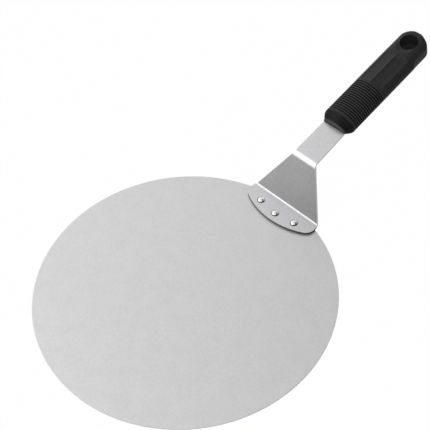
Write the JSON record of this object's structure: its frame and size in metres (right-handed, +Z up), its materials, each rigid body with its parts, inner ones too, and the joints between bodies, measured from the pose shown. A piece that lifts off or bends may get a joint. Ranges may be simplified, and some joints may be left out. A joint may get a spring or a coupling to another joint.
{
  "type": "round pizza peel",
  "caption": "Round flat steel peel on a riveted, bent steel bracket with a ribbed black grip that rises clear of the blade and has a hanging hole at its end.",
  "frame": {"origin": "centre of the blade's underside, which lies flat on the table", "axes": "+Z up, +Y from the blade's centre towards the handle, +X to the right seen from above with the handle pointing away"},
  "size_m": [0.254, 0.4308, 0.0883],
  "materials": {
    "blade": "satin",
    "bracket": "satin",
    "rivets": "polished",
    "handle": "fine matte grain"
  },
  "bodies": {
    "root": {"blade": "blade", "bracket": "bracket", "rivet_left": "rivets", "rivet_middle": "rivets", "rivet_right": "rivets", "handle": "handle"}
  },
  "joints": []
}
